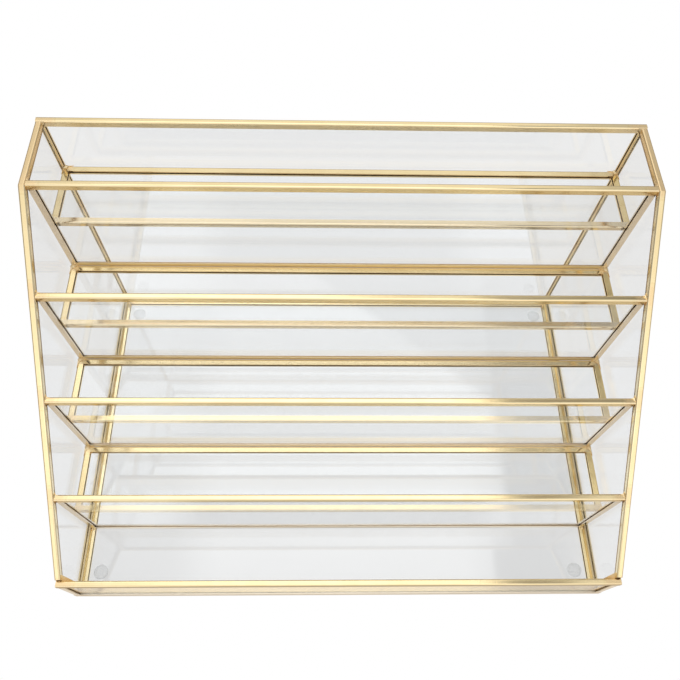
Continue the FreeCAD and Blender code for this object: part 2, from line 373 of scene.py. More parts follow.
def drawn_metal_group():
    """Die lines along a drawn channel, soft mottling and small spots; the channel runs along X."""
    name = "Drawn metal"
    if name in bpy.data.node_groups:
        return bpy.data.node_groups[name]
    tree, given, put = group(name, [("Vector", "Vector")], [
        ("Lines", "Float"), ("Mottle", "Float"), ("Spots", "Float"), ("Height", "Float")])
    stretched = node(tree, "Mapping", {"Vector": given["Vector"], "Scale": (14.0, 900.0, 900.0)}).outputs[0]
    lines = node(tree, "TexNoise", {
        "Vector": stretched, "Scale": 1.0, "Detail": 3.0, "Roughness": 0.6}).outputs[0]
    mottle = node(tree, "TexNoise", {
        "Vector": given["Vector"], "Scale": 38.0, "Detail": 4.0, "Roughness": 0.55}).outputs[0]
    spots = node(tree, "TexNoise", {"Vector": given["Vector"], "Scale": 420.0, "Detail": 2.0}).outputs[0]
    spots = remap(tree, spots, 0.62, 0.74)
    tree.links.new(remap(tree, lines, 0.3, 0.7), put["Lines"])
    tree.links.new(remap(tree, mottle, 0.34, 0.68), put["Mottle"])
    tree.links.new(spots, put["Spots"])
    tree.links.new(calc(tree, "SUBTRACT", lines, calc(tree, "MULTIPLY", spots, 0.4)), put["Height"])
    return tree


def heat_group():
    """Tint beside a joint, with a ragged edge and a thin darker line where the tint ends."""
    name = "Solder heat"
    if name in bpy.data.node_groups:
        return bpy.data.node_groups[name]
    tree, given, put = group(name, [("Vector", "Vector"), ("Distance", "Float"), ("Reach", "Float")],
                             [("Tint", "Float"), ("Edge", "Float")])
    wobble = node(tree, "TexNoise", {"Vector": given["Vector"], "Scale": 160.0, "Detail": 2.0}).outputs[0]
    share = calc(tree, "DIVIDE", given["Distance"], given["Reach"])
    share = calc(tree, "ADD", share, calc(tree, "MULTIPLY", calc(tree, "SUBTRACT", wobble, 0.5), 0.3))
    tree.links.new(fall(tree, share, 0.6, 1.0), put["Tint"])
    tree.links.new(product(tree, remap(tree, share, 0.86, 0.98), fall(tree, share, 0.98, 1.1)), put["Edge"])
    return tree


def lips_group():
    """Mask of the lip ends that look towards a channel's open side; Side picks one lip of the two."""
    name = "Channel lips"
    if name in bpy.data.node_groups:
        return bpy.data.node_groups[name]
    tree, given, put = group(name, [("Normal", "Vector"), ("Open", "Vector"), ("Side", "Float")],
                             [("Lips", "Float")])
    facing = dot(tree, given["Normal"], given["Open"])
    tree.links.new(product(tree, remap(tree, facing, 0.82, 0.92), given["Side"]), put["Lips"])
    return tree


def arris_group():
    """Mask of the rounded edges, where handling polishes the metal; Normal is turned as the channel is."""
    name = "Worn edges"
    if name in bpy.data.node_groups:
        return bpy.data.node_groups[name]
    tree, given, put = group(name, [("Vector", "Vector"), ("Normal", "Vector")], [("Wear", "Float")])
    away = node(tree, "VectorMath", {0: given["Normal"]}, operation="ABSOLUTE").outputs[0]
    edge = remap(tree, dot(tree, away, (1, 1, 1)), 1.1, 1.36)
    patchy = node(tree, "TexNoise", {"Vector": given["Vector"], "Scale": 60.0, "Detail": 3.0}).outputs[0]
    tree.links.new(product(tree, edge, remap(tree, patchy, 0.3, 0.6, 0.45, 1.0)), put["Wear"])
    return tree


# Turns that bring each run of channel to X
ALONG_Y = (0.0, 0.0, -math.pi / 2)
RUNS = {"x": (), "y": (ALONG_Y,), "z": ((0.0, math.pi / 2, 0.0),), "slant": ((-SLANT, 0.0, 0.0), ALONG_Y)}

# Numbers of the coordinates that spread gives
X, Y, Z, FROM_MIDDLE, ABOVE_STEPS = range(5)

# Levels along one coordinate: a first one, and the spacing of the next ones or None
Levels = namedtuple("Levels", "axis first spacing", defaults=(None,))
# The stained lip, whose brown also paints the shade in the slot beside the pane: the way that the channel
# opens, the side of the pane, and how dark it is between the joints
Lip = namedtuple("Lip", "open side between")
IN_FRONT, INSIDE, ABOVE = -1, -1, 1
# Painted shade, a dark band up the wall beside the lip: its direction, where it starts, and half its width
# across the rack
Band = namedtuple("Band", "way start half")
# Metal of another colour beyond a level along a direction, and how much rougher it is; most tones are lighter
# or darker copies of the brass that paint light and shade
Tone = namedtuple("Tone", "way start colour rougher", defaults=(0.0,))

RAIL_ENDS = [Levels(FROM_MIDDLE, INNER)]
STEPS = [Levels(Y, RISERS[0], TIER_DEPTH)]


def spread(tree, place):
    """Coordinates x, y and z, the distance from the middle and the height above the slant of the steps."""
    parts = node(tree, "SeparateXYZ", {0: place}).outputs
    above = calc(tree, "MULTIPLY_ADD", parts[1], -math.tan(SLANT), parts[2])
    return [parts[0], parts[1], parts[2], calc(tree, "ABSOLUTE", parts[0]), above]


def joint_distance(tree, parts, joints):
    """Distance along a rail to the nearest soldered joint."""
    nearest = None
    for joint in joints:
        away = calc(tree, "SUBTRACT", parts[joint.axis], joint.first)
        if joint.spacing is None:
            away = calc(tree, "ABSOLUTE", away)
        else:
            away = calc(tree, "PINGPONG", away, joint.spacing / 2)
        nearest = away if nearest is None else calc(tree, "MINIMUM", nearest, away)
    return nearest


def pane_distance(tree, parts, slot):
    """Distance from the middle of the pane in a slot."""
    away = calc(tree, "SUBTRACT", parts[slot.axis], slot.first)
    return away if slot.spacing is None else calc(tree, "WRAP", away, slot.spacing / 2, -slot.spacing / 2)


def lip_stain_and_shade(tree, parts, normal, slot, lip):
    """Mask of one lip's end beside the pane, stained and with painted shade of the slot."""
    beside = calc(tree, "MULTIPLY", pane_distance(tree, parts, slot), lip.side)
    beside = product(tree, calc(tree, "GREATER_THAN", beside, 0.0), fall(tree, beside, STAIN_AND_SHADE_FROM, STAIN_AND_SHADE_TO))
    way = lip.open
    if way == INWARD:
        across = calc(tree, "MULTIPLY", calc(tree, "SIGN", parts[X]), -1.0)
        way = node(tree, "CombineXYZ", {0: across}).outputs[0]
    inputs = {"Normal": normal, "Open": way, "Side": beside}
    return node(tree, "Group", inputs, node_tree=lips_group()).outputs["Lips"]


def brass_material(scene, name, run, slot, lip, joints, band=None, tones=()):
    """Polished drawn brass that runs one way, stained on one lip with painted shade beside it, tinted at its
    joints, and toned in ways that mostly paint light and shade.
    """
    finish = scene.rack_finish
    material, tree = new_material(name)
    coords = node(tree, "TexCoord").outputs
    place, normal = coords["Object"], coords["Normal"]
    parts = spread(tree, place)
    turned, facing = place, normal
    for turn in RUNS[run]:
        turned = node(tree, "Mapping", {"Vector": turned, "Rotation": turn}).outputs[0]
        facing = node(tree, "Mapping", {"Vector": facing, "Rotation": turn}, vector_type="VECTOR").outputs[0]
    drawn = node(tree, "Group", {"Vector": turned}, node_tree=drawn_metal_group()).outputs
    worn_and_lit = node(tree, "Group", {"Vector": turned, "Normal": facing}, node_tree=arris_group()).outputs["Wear"]
    heat = node(tree, "Group", {
        "Vector": turned, "Distance": joint_distance(tree, parts, joints),
        "Reach": scene.rack_solder.tint_reach * (math.cos(SLANT) if run == "slant" else 1.0),
    }, node_tree=heat_group()).outputs
    tint = heat["Tint"]
    stain_and_shade = lip_stain_and_shade(tree, parts, normal, slot, lip)
    # Painted shade: a dark band up the wall beside the lip, in the lip's brown
    if band:
        wall = remap(tree, dot(tree, place, band.way), band.start, band.start + SHADE_BAND_EDGE, 0.0, SHADE_BAND_COVER)
        wall = product(tree, wall, calc(tree, "LESS_THAN", parts[FROM_MIDDLE], band.half))
        stain_and_shade = calc(tree, "MAXIMUM", stain_and_shade, wall)
    darker = remap(tree, tint, 0.1, 0.9, lip.between, 1.0)
    brown = blend(tree, darker, colour(finish.stain_and_shade), colour(finish.patina))

    deep = colour(finish.deep_brass)
    shade = cover(tree, drawn["Mottle"], MOTTLE_COVER, colour(finish.brass), deep)
    shade = cover(tree, drawn["Spots"], SPOT_COVER, shade, deep)
    shade = cover(tree, tint, TINT_COVER, shade, colour(finish.heat))
    shade = cover(tree, heat["Edge"], TINT_EDGE_COVER, shade, deep)
    shade = cover(tree, worn_and_lit, WEAR_COVER, shade, colour(finish.worn_and_lit))
    rough = calc(tree, "MULTIPLY_ADD", drawn["Lines"], LINES_ROUGHER, POLISH)
    for tone in tones:
        if tone.way == INWARD:
            along = calc(tree, "MULTIPLY", parts[FROM_MIDDLE], -1.0)
        else:
            along = dot(tree, place, tone.way)
        beyond = remap(tree, along, tone.start, tone.start + TONE_EDGE)
        shade = cover(tree, beyond, TONE_COVER, shade, colour(tone.colour))
        rough = calc(tree, "MULTIPLY_ADD", beyond, tone.rougher, rough)
    # Brown on the lip ends: stained metal, and painted shade in the slot beside the pane
    shade = cover(tree, stain_and_shade, STAIN_AND_SHADE_COVER, shade, brown)
    rough = calc(tree, "MULTIPLY_ADD", tint, TINT_ROUGHER, rough)
    rough = calc(tree, "MULTIPLY_ADD", worn_and_lit, -WEAR_SMOOTHER, rough)
    rough = calc(tree, "MULTIPLY_ADD", stain_and_shade, STAIN_AND_SHADE_ROUGHER, rough)
    bump = node(tree, "Bump", {"Strength": 0.04, "Distance": 0.2 * MM, "Height": drawn["Height"]})
    show(tree, node(tree, "BsdfPrincipled", {
        "Base Color": shade, "Roughness": rough, "Metallic": 1.0, "Normal": bump.outputs[0]}))
    return material


class RACK_OT_riser_rails(bpy.types.Operator):
    """Finish the rails round the four risers"""
    bl_idname = "rack.riser_rails"
    bl_label = "Riser Rails"

    # How much lighter than the paler brass the two lower feet are, painted light
    low_foot_lift = 1.08

    def execute(self, context):
        scene, finish = context.scene, context.scene.rack_finish
        slot, lit_pale = Levels(Y, RISERS[0], TIER_DEPTH), Vector(finish.lit_pale)
        top = brass_material(scene, "Brass riser top", "x", slot, Lip(DOWN, IN_FRONT, between=0.5), RAIL_ENDS)
        # The foot tones paint light and shade: a greyer copy of the brass on the upper feet, a lighter one on
        # the lower feet
        foot, low_foot, lowest_foot = (
            brass_material(scene, name, "x", slot, Lip(UP, IN_FRONT, between), RAIL_ENDS,
                           tones=[Tone(UP, 0.0, shade, MATTE)])
            for name, between, shade in (("Brass riser foot", 0.0, finish.foot),
                                         ("Brass low foot", 0.0, lit_pale * self.low_foot_lift),
                                         ("Brass lowest foot", 0.5, lit_pale * self.low_foot_lift)))
        steps_at_riser = RISERS[0] * math.tan(SLANT)
        heights = [Levels(ABOVE_STEPS, SHELVES[1] + 0.5 * DEPTH - steps_at_riser),
                   Levels(ABOVE_STEPS, CRESTS[0] - 0.5 * DEPTH - steps_at_riser)]
        # The riser sides get the paler copy of the brass, painted light
        side = brass_material(scene, "Brass riser side", "z", slot, Lip(INWARD, IN_FRONT, between=0.65),
                              heights, tones=[Tone(UP, 0.0, lit_pale)])
        for n, low in zip(TIERS, (foot, foot, low_foot, lowest_foot)):
            give(top, "riser_%d_top_rail" % n)
            give(low, "riser_%d_foot_rail" % n)
            give(side, "riser_%d_left_rail" % n, "riser_%d_right_rail" % n)
        return {"FINISHED"}


class RACK_OT_shelf_rails(bpy.types.Operator):
    """Finish the rails round the four shelves"""
    bl_idname = "rack.shelf_rails"
    bl_label = "Shelf Rails"

    def execute(self, context):
        scene, finish = context.scene, context.scene.rack_finish
        slot = Levels(Z, SHELVES[0] - CHANNEL / 2, STEP_RISE)
        above_third, above_lowest = SHELVES[2] + DEPTH, SHELVES[3] + DEPTH
        # The third shelf's rear rail gets the darker copy of the brass, painted shade; the lowest goes back to
        # plain brass
        rear = brass_material(scene, "Brass shelf rear", "x", slot, Lip(AHEAD, ABOVE, between=0.0),
                              RAIL_ENDS, tones=[Tone(DOWN, -above_third, finish.shaded_third_rear),
                                                Tone(DOWN, -above_lowest, finish.brass)])
        # The upper front rails get the greyer copy, a painted haze of reflected light
        front = brass_material(scene, "Brass shelf front", "x", slot, Lip(BEHIND, ABOVE, between=0.4),
                               RAIL_ENDS, tones=[Tone(UP, above_third, finish.hazed_upper_front)])
        inner_lip = Lip(INWARD, ABOVE, between=0.75)
        left = brass_material(scene, "Brass left shelf side", "y", slot, inner_lip, STEPS)
        # Only the right side rails get the brighter copy, painted light
        right = brass_material(scene, "Brass right shelf side", "y", slot, inner_lip, STEPS,
                               tones=[Tone(UP, 0.0, finish.lit_right_shelf)])
        for n in TIERS:
            give(rear, "shelf_%d_rear_rail" % n)
            give(front, "shelf_%d_front_rail" % n)
            give(left, "shelf_%d_left_rail" % n)
            give(right, "shelf_%d_right_rail" % n)
        return {"FINISHED"}


class RACK_OT_outer_rails(bpy.types.Operator):
    """Finish the full-width rails and the rails along the side panes"""
    bl_idname = "rack.outer_rails"
    bl_label = "Outer Rails"

    lip_width = 1.7 * MM
    heat_depth = 3.0 * MM
    band_overlap = 0.2 * MM
    # Reach of the painted light on the slanted rails' inner wall
    lit_inset = 0.4 * MM

    def execute(self, context):
        scene, finish = context.scene, context.scene.rack_finish
        # The back rail's front face gets the light brass, painted light; the lip rail's front gets the darker
        # brass, painted shade
        for rail, name, level, edge, shade in (
                ("top_back_rail", "Brass full width", BACK, 0.2 * MM, finish.worn_and_lit),
                ("front_lip_rail", "Brass front lip", LIP, 0.35 * MM, finish.dull_shaded)):
            wide = brass_material(scene, name, "x", Levels(Y, level), Lip(DOWN, IN_FRONT, between=0.5),
                                  RAIL_ENDS, tones=[Tone(AHEAD, CHANNEL / 2 - level - edge, shade, MATTE)])
            give(wide, rail)
        slot, band_half = Levels(FROM_MIDDLE, HALF_WIDTH - CHANNEL / 2), INNER + self.band_overlap
        elbow = Vector((0, RISERS[0] - CHANNEL / 2, CRESTS[0]))
        lip_start = DEPTH - self.lip_width
        # The rails along the side panes carry a band of painted shade beside their lip
        top = brass_material(scene, "Brass side top", "y", slot, Lip(DOWN, INSIDE, between=0.6),
                             STEPS, Band(DOWN, elbow.dot(DOWN) + lip_start, band_half),
                             [Tone(UP, CRESTS[0] - self.heat_depth, finish.heat, rougher=0.1)])
        give(top, "left_top_rail", "right_top_rail")
        # The slanted rails' inner wall gets the light brass, painted light
        slanted = brass_material(scene, "Brass slanted", "slant", slot, Lip(SLANT_IN, INSIDE, between=0.6),
                                 STEPS, Band(SLANT_IN, elbow.dot(SLANT_IN) + lip_start, band_half),
                                 [Tone(INWARD, -INNER - self.lit_inset, finish.worn_and_lit, rougher=0.05)])
        give(slanted, "left_slanted_rail", "right_slanted_rail")
        return {"FINISHED"}


class RACK_OT_posts_and_ring(bpy.types.Operator):
    """Finish the corner posts and the base ring"""
    bl_idname = "rack.posts_and_ring"
    bl_label = "Posts and Base Ring"

    post_edge, ring_edge, top_edge = 0.9 * MM, 1.4 * MM, 0.5 * MM

    def execute(self, context):
        scene, finish = context.scene, context.scene.rack_finish
        rungs = [Levels(Z, SHELVES[0], STEP_RISE)]
        lip_face = CHANNEL / 2 - LIP
        back = brass_material(scene, "Brass back post", "z", Levels(Y, BACK),
                              Lip(INWARD, IN_FRONT, between=0.7), rungs)
        give(back, "left_back_post", "right_back_post")
        # The lip posts' front faces get the near-white copy, painted light
        lip = brass_material(scene, "Brass lip post", "z", Levels(Y, LIP),
                             Lip(INWARD, IN_FRONT, between=0.85), rungs,
                             tones=[Tone(AHEAD, lip_face - self.post_edge, finish.lit_lip_post)])
        give(lip, "left_lip_post", "right_lip_post")
        slot = Levels(Z, RING_TOP - CHANNEL / 2)
        rear = brass_material(scene, "Brass base rear", "x", slot, Lip(AHEAD, ABOVE, between=0.6), RAIL_ENDS)
        give(rear, "base_rear_rail")
        # The base front rail's face gets the paler copy of the brass, painted light
        front = brass_material(scene, "Brass base front", "x", slot, Lip(BEHIND, ABOVE, between=0.6),
                               RAIL_ENDS, tones=[Tone(AHEAD, lip_face - self.ring_edge, finish.lit_pale, MATTE)])
        give(front, "base_front_rail")
        # Each side base rail's top gets a lighter copy of the brass, painted light, and its wall above gets a
        # darker one, painted shade
        for end, shade, shaded_wall_from in (("left", finish.lit_left_base, 1.0 * MM),
                                      ("right", finish.lit_right_base, 0.1 * MM)):
            side = brass_material(scene, "Brass %s base" % end, "y", slot, Lip(INWARD, ABOVE, between=1.0),
                                  [Levels(Y, RISERS[3], TIER_DEPTH)],
                                  tones=[Tone(UP, RING_TOP - self.top_edge, shade),
                                         Tone(UP, RING_TOP + shaded_wall_from, finish.dull_shaded, MATTE)])
            give(side, "%s_base_rail" % end)
        return {"FINISHED"}


def solder_material(name, first, second, dark):
    """Lumpy filler metal of two tones in patches, darker where the lump noise is high."""
    material, tree = new_material(name)
    place = node(tree, "TexCoord").outputs["Object"]
    lumps = node(tree, "TexNoise", {"Vector": place, "Scale": 520.0, "Detail": 3.0}).outputs[0]
    patches = node(tree, "TexNoise", {"Vector": place, "Scale": 170.0, "Detail": 2.0}).outputs[0]
    shade = blend(tree, remap(tree, patches, 0.4, 0.62), colour(first), colour(second))
    shade = blend(tree, remap(tree, lumps, 0.52, 0.72, 0.0, 0.5), shade, colour(dark))
    rough = remap(tree, patches, 0.35, 0.65, 0.34, 0.5)
    bump = node(tree, "Bump", {"Strength": 0.2, "Distance": 0.3 * MM, "Height": lumps})
    show(tree, node(tree, "BsdfPrincipled", {
        "Base Color": shade, "Roughness": rough, "Metallic": 1.0, "Normal": bump.outputs[0]}))
    return material


def join(shape, made):
    """Moves one bmesh into another, with its lumps."""
    bmesh.ops.recalc_face_normals(made, faces=made.faces)
    made.normal_update()
    for vert in made.verts:
        vert.co += vert.normal * noise.noise(vert.co * LUMPS_PER_METRE) * LUMP_HEIGHT
    mesh = bpy.data.meshes.new("part")
    made.to_mesh(mesh)
    made.free()
    shape.from_mesh(mesh)
    bpy.data.meshes.remove(mesh)


def add_fillet(shape, corner, first, second, run, steps=6):
    """Adds a fillet between two directions, drawn out along a third; each vector's length is its reach.

    The fillet is hollow, or straight if it has one step.
    """
    made = bmesh.new()
    rim = made.verts.new((1, 0, 0))
    bmesh.ops.spin(made, geom=[rim], cent=(1, 1, 0), axis=(0, 0, 1), angle=-math.pi / 2, steps=steps)
    ends = [vert for vert in made.verts if len(vert.link_edges) == 1]
    root = made.verts.new((0, 0, 0))
    for end in ends:
        made.edges.new((end, root))
    bmesh.ops.contextual_create(made, geom=made.edges[:])
    grown = bmesh.ops.extrude_face_region(made, geom=made.faces[:])["geom"]
    raised = [part for part in grown if isinstance(part, bmesh.types.BMVert)]
    bmesh.ops.translate(made, vec=(0, 0, 1), verts=raised)
    long = [edge for edge in made.edges if abs(edge.verts[0].co.z - edge.verts[1].co.z) > 0.5]
    bmesh.ops.subdivide_edges(made, edges=long, cuts=2, use_grid_fill=True)
    turn = Matrix((first, second, run)).transposed().to_4x4()
    bmesh.ops.transform(made, matrix=Matrix.Translation(corner) @ turn, verts=made.verts)
    join(shape, made)


def add_bead(shape, place, size):
    """Adds a lumpy bead; place and size are in metres."""
    made = bmesh.new()
    bmesh.ops.create_icosphere(made, subdivisions=3, radius=1.0)
    for vert in made.verts:
        vert.co *= 1.0 + BEAD_LUMP_SHARE * noise.noise(vert.co * BEAD_LUMPS + place * BEAD_VARIETY)
    bmesh.ops.smooth_vert(made, verts=made.verts, factor=0.3,
                          use_axis_x=True, use_axis_y=True, use_axis_z=True)
    sized = Matrix.Translation(place) @ Matrix.Diagonal((*size, 1.0))
    bmesh.ops.transform(made, matrix=sized, verts=made.verts)
    join(shape, made)


def add_plug(shape, place, size):
    """Adds a bevelled block of filler; place and size are in metres."""
    made = bmesh.new()
    bmesh.ops.create_cube(made, size=1.0)
    sized = Matrix.Translation(place) @ Matrix.Diagonal((*size, 1.0))
    bmesh.ops.transform(made, matrix=sized, verts=made.verts)
    bmesh.ops.bevel(made, geom=made.edges[:], offset=0.3 * MM, affect="EDGES", segments=3, profile=0.5,
                    material=-1)
    join(shape, made)


def place_solder(scene, name, shape, material):
    """Makes an object of a bmesh of solder; edges stay sharp only where they turn hard."""
    for face in shape.faces:
        face.smooth = True
    for edge in shape.edges:
        edge.smooth = edge.calc_face_angle(0.0) < SHARP_TURN
    mesh = bpy.data.meshes.new(name)
    shape.to_mesh(mesh)
    shape.free()
    mesh.materials.append(material)
    piece = bpy.data.objects.new(name, mesh)
    scene.collection.objects.link(piece)
    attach(piece, "root")


def solder_corner(shape, kind, side, face, top, way, reach, run=DOWN, steps=6):
    """Adds a fillet of one kind at one end of a rail, where its face meets its top."""
    corner = Vector((side * (INNER - kind.inset), face - math.copysign(kind.inside, way.y), top - kind.below))
    across = Vector((-side, 0, 0)) * kind.across * reach
    add_fillet(shape, corner, across, way * kind.along * reach, run * kind.height, steps)


def solder_bead(shape, kind, side, outer, face, top, radius):
    """Adds a bead of one kind at one end of a rail."""
    place = Vector((side * (outer - kind.inset), face - kind.ahead, top + BEAD_RAISED))
    add_bead(shape, place, kind.size * radius)


class RACK_OT_solder(bpy.types.Operator):
    """Add the fillets, beads and end fills of solder"""
    bl_idname = "rack.solder"
    bl_label = "Solder"

    half = CHANNEL / 2

    def solder_crests(self, fillets, burns_and_shade, side, reach):
        """Solders the risers, the back and the lip to one side's top rails, with dark fillets in front of
        charred flux and painted corner shade.
        """
        for n, (level, crest) in enumerate(zip(RISERS, CRESTS)):
            climb = SLANT_UP if n else BEHIND
            solder_corner(fillets, CREST, side, level + self.half, crest, climb, reach)
            solder_corner(burns_and_shade, CREST_BURN_SHADE, side, level - self.half, crest, -SLANT_UP, reach)
            if n:
                solder_corner(fillets, CREST_TOP, side, level, crest, UP, reach, run=BEHIND)
        solder_corner(fillets, CREST, side, BACK - self.half, CRESTS[0], AHEAD, reach)
        solder_corner(fillets, LIP_WEDGE, side, LIP + self.half, LIP_TOP, SLANT_UP, reach, steps=1)

    def fill_ends(self, plugs, gap_shades, side):
        """Fills the open ends of one side's rails, and puts dark strips of painted shade in the gaps between
        its pane and the posts.
        """
        for n in TIERS:
            for name, shift in (("shelf_%d_front_rail", FILL_SHIFT), ("shelf_%d_rear_rail", -FILL_SHIFT)):
                rail = middle(name % n)
                add_plug(plugs, Vector((side * (INNER - FILL_SUNK), rail.y + shift, rail.z)), END_FILL.xzy)
        for level, top in ((BACK, CRESTS[0]), (LIP, LIP_TOP)):
            add_plug(plugs, Vector((side * (HALF_WIDTH - FILL_SUNK), level, top - FILL_DROP)), END_FILL)
            low, high = RING_TOP + GAP_SHADE_FOOT, top - DEPTH - GAP_SHADE_HEAD
            pane = HALF_WIDTH - self.half + GAP_SHADE_WIDTH / 2
            edge = level - math.copysign(self.half + GAP_SHADE_DEPTH / 2, level)
            add_plug(gap_shades, Vector((side * pane, edge, (low + high) / 2)), (GAP_SHADE_WIDTH, GAP_SHADE_DEPTH, high - low))

    def execute(self, context):
        scene, finish = context.scene, context.scene.rack_finish
        reach, bead = scene.rack_solder.reach, scene.rack_solder.bead
        clean = solder_material("Solder", finish.solder, finish.heat, finish.deep_brass)
        # Dark fillets: charred flux, and painted shade in the corners
        burnt_and_shade = solder_material("Burnt flux and shade", finish.patina, finish.stain_and_shade, finish.patina)
        # Painted shade for the gaps beside the side panes, in dark colours
        flux = solder_material("Painted gap shade", finish.gap_shade, finish.dull_shaded, finish.gap_shade)
        fillets, burns_and_shade, beads, plugs, gap_shades = (bmesh.new() for made in range(5))
        for side in (-1, 1):
            self.solder_crests(fillets, burns_and_shade, side, reach)
            for wall, top in zip([BACK, *RISERS[:3]], SHELVES):
                face = wall - self.half
                solder_corner(fillets, SHELF_CORNER, side, face, top, AHEAD, reach)
                solder_corner(burns_and_shade, SHELF_BURN_SHADE, side, face - DEPTH, top, AHEAD, reach)
                solder_bead(beads, SHELF_BEAD, side, INNER, face, top, bead)
            solder_bead(burns_and_shade, SLANT_FOOT_BEAD, side, HALF_WIDTH, LIP + self.half, LIP_TOP, bead)
            for face in (BACK - self.half, RISERS[3] + self.half, RISERS[3] - self.half, LIP + self.half):
                solder_bead(beads, RING_BEAD, side, INNER, face, RING_TOP, bead)
            self.fill_ends(plugs, gap_shades, side)
        place_solder(scene, "solder_fillets", fillets, clean)
        place_solder(scene, "burnt_flux_and_shade", burns_and_shade, burnt_and_shade)
        place_solder(scene, "pane_end_gap_shades", gap_shades, flux)
        place_solder(scene, "solder_beads", beads, clean)
        place_solder(scene, "solder_end_fills", plugs, clean)
        return {"FINISHED"}


def smudge_group():
    """Faint wiping marks and dust on clear surfaces."""
    name = "Glass smudges"
    if name in bpy.data.node_groups:
        return bpy.data.node_groups[name]
    tree, given, put = group(name, [("Vector", "Vector")], [("Smudge", "Float"), ("Wave", "Float")])
    wiped = node(tree, "Mapping", {
        "Vector": given["Vector"], "Rotation": (0.3, 0.5, 0.6), "Scale": (6.0, 30.0, 14.0)}).outputs[0]
    smear = node(tree, "TexNoise", {
        "Vector": wiped, "Scale": 1.0, "Detail": 4.0, "Roughness": 0.6}).outputs[0]
    wave = node(tree, "TexNoise", {"Vector": given["Vector"], "Scale": 9.0, "Detail": 1.0}).outputs[0]
    tree.links.new(remap(tree, smear, 0.5, 0.8), put["Smudge"])
    tree.links.new(wave, put["Wave"])
    return tree


def glass_material(name, tint, smeared, ior, shadow):
    """Clear glass with faint smudges; lamps shine through it."""
    material, tree = new_material(name)
    place = node(tree, "TexCoord").outputs["Object"]
    marks = node(tree, "Group", {"Vector": place}, node_tree=smudge_group()).outputs
    shade = blend(tree, marks["Smudge"], colour(tint), colour(smeared))
    rough = remap(tree, marks["Smudge"], 0.0, 1.0, 0.0, 0.02, smooth=False)
    bump = node(tree, "Bump", {"Strength": 0.05, "Distance": 0.4 * MM, "Height": marks["Wave"]})
    shader = node(tree, "BsdfPrincipled", {
        "Base Color": shade, "Roughness": rough, "Metallic": 0.0, "IOR": ior,
        "Transmission Weight": 1.0, "Normal": bump.outputs[0]})
    through = node(tree, "BsdfTransparent", {"Color": colour(shadow)})
    path = node(tree, "LightPath").outputs
    lamps = calc(tree, "MAXIMUM", path["Is Shadow Ray"], path["Is Diffuse Ray"])
    show(tree, node(tree, "MixShader", {0: lamps, 1: shader.outputs[0], 2: through.outputs[0]}))
    return material


class RACK_OT_panes(bpy.types.Operator):
    """Finish the glass panes"""
    bl_idname = "rack.panes"
    bl_label = "Glass Panes"

    ior, smeared = 1.5, 0.985
    # The side panes are tinted darker than the rest: painted shade on what is seen through them
    side_ior, side_tint, side_smeared = 1.25, 0.95, 0.935

    def execute(self, context):
        finish = context.scene.rack_finish
        tint, shadow = Vector(finish.glass), finish.glass_shadow
        glass = glass_material("Clear glass", tint, tint * self.smeared, self.ior, shadow)
        give(glass, "base_plate", "back_pane", "front_lip_pane")
        for n in TIERS:
            give(glass, "riser_%d_pane" % n, "shelf_%d_pane" % n)
        sides = glass_material("Clear side glass", tint * self.side_tint, tint * self.side_smeared,
                               self.side_ior, shadow)
        give(sides, "left_side_pane", "right_side_pane")
        return {"FINISHED"}


def bumper_material(scene):
    """Clear soft rubber: nearly unseen on its flats, with a paler ring of painted light round its wall, and a
    little dusty.
    """
    material, tree = new_material("Clear rubber")
    coords = node(tree, "TexCoord").outputs
    marks = node(tree, "Group", {"Vector": coords["Object"]}, node_tree=smudge_group()).outputs
    tint = Vector(scene.rack_finish.rubber)
    shade = blend(tree, marks["Smudge"], colour(tint), colour(tint * 0.92))
    upright = calc(tree, "ABSOLUTE", node(tree, "SeparateXYZ", {0: coords["Normal"]}).outputs[2])
    # The more solid, whiter wall is painted light on the clear rubber; the dust is real
    wall_alpha, flat_alpha, dust_alpha = 0.3, 0.14, 0.1
    alpha = remap(tree, upright, 0.3, 0.95, wall_alpha, flat_alpha)
    alpha = calc(tree, "MULTIPLY_ADD", marks["Smudge"], dust_alpha, alpha)
    rough = remap(tree, marks["Smudge"], 0.0, 1.0, 0.15, 0.35)
    bump = node(tree, "Bump", {"Strength": 0.1, "Distance": 0.4 * MM, "Height": marks["Wave"]})
    show(tree, node(tree, "BsdfPrincipled", {
        "Base Color": shade, "Roughness": rough, "Metallic": 0.0, "IOR": 1.45, "Alpha": alpha,
        "Normal": bump.outputs[0]}))
    return material


class RACK_OT_bumpers(bpy.types.Operator):
    """Finish the clear bumper feet"""
    bl_idname = "rack.bumpers"
    bl_label = "Bumper Feet"

    def execute(self, context):
        give(bumper_material(context.scene), "bumper_feet")
        return {"FINISHED"}


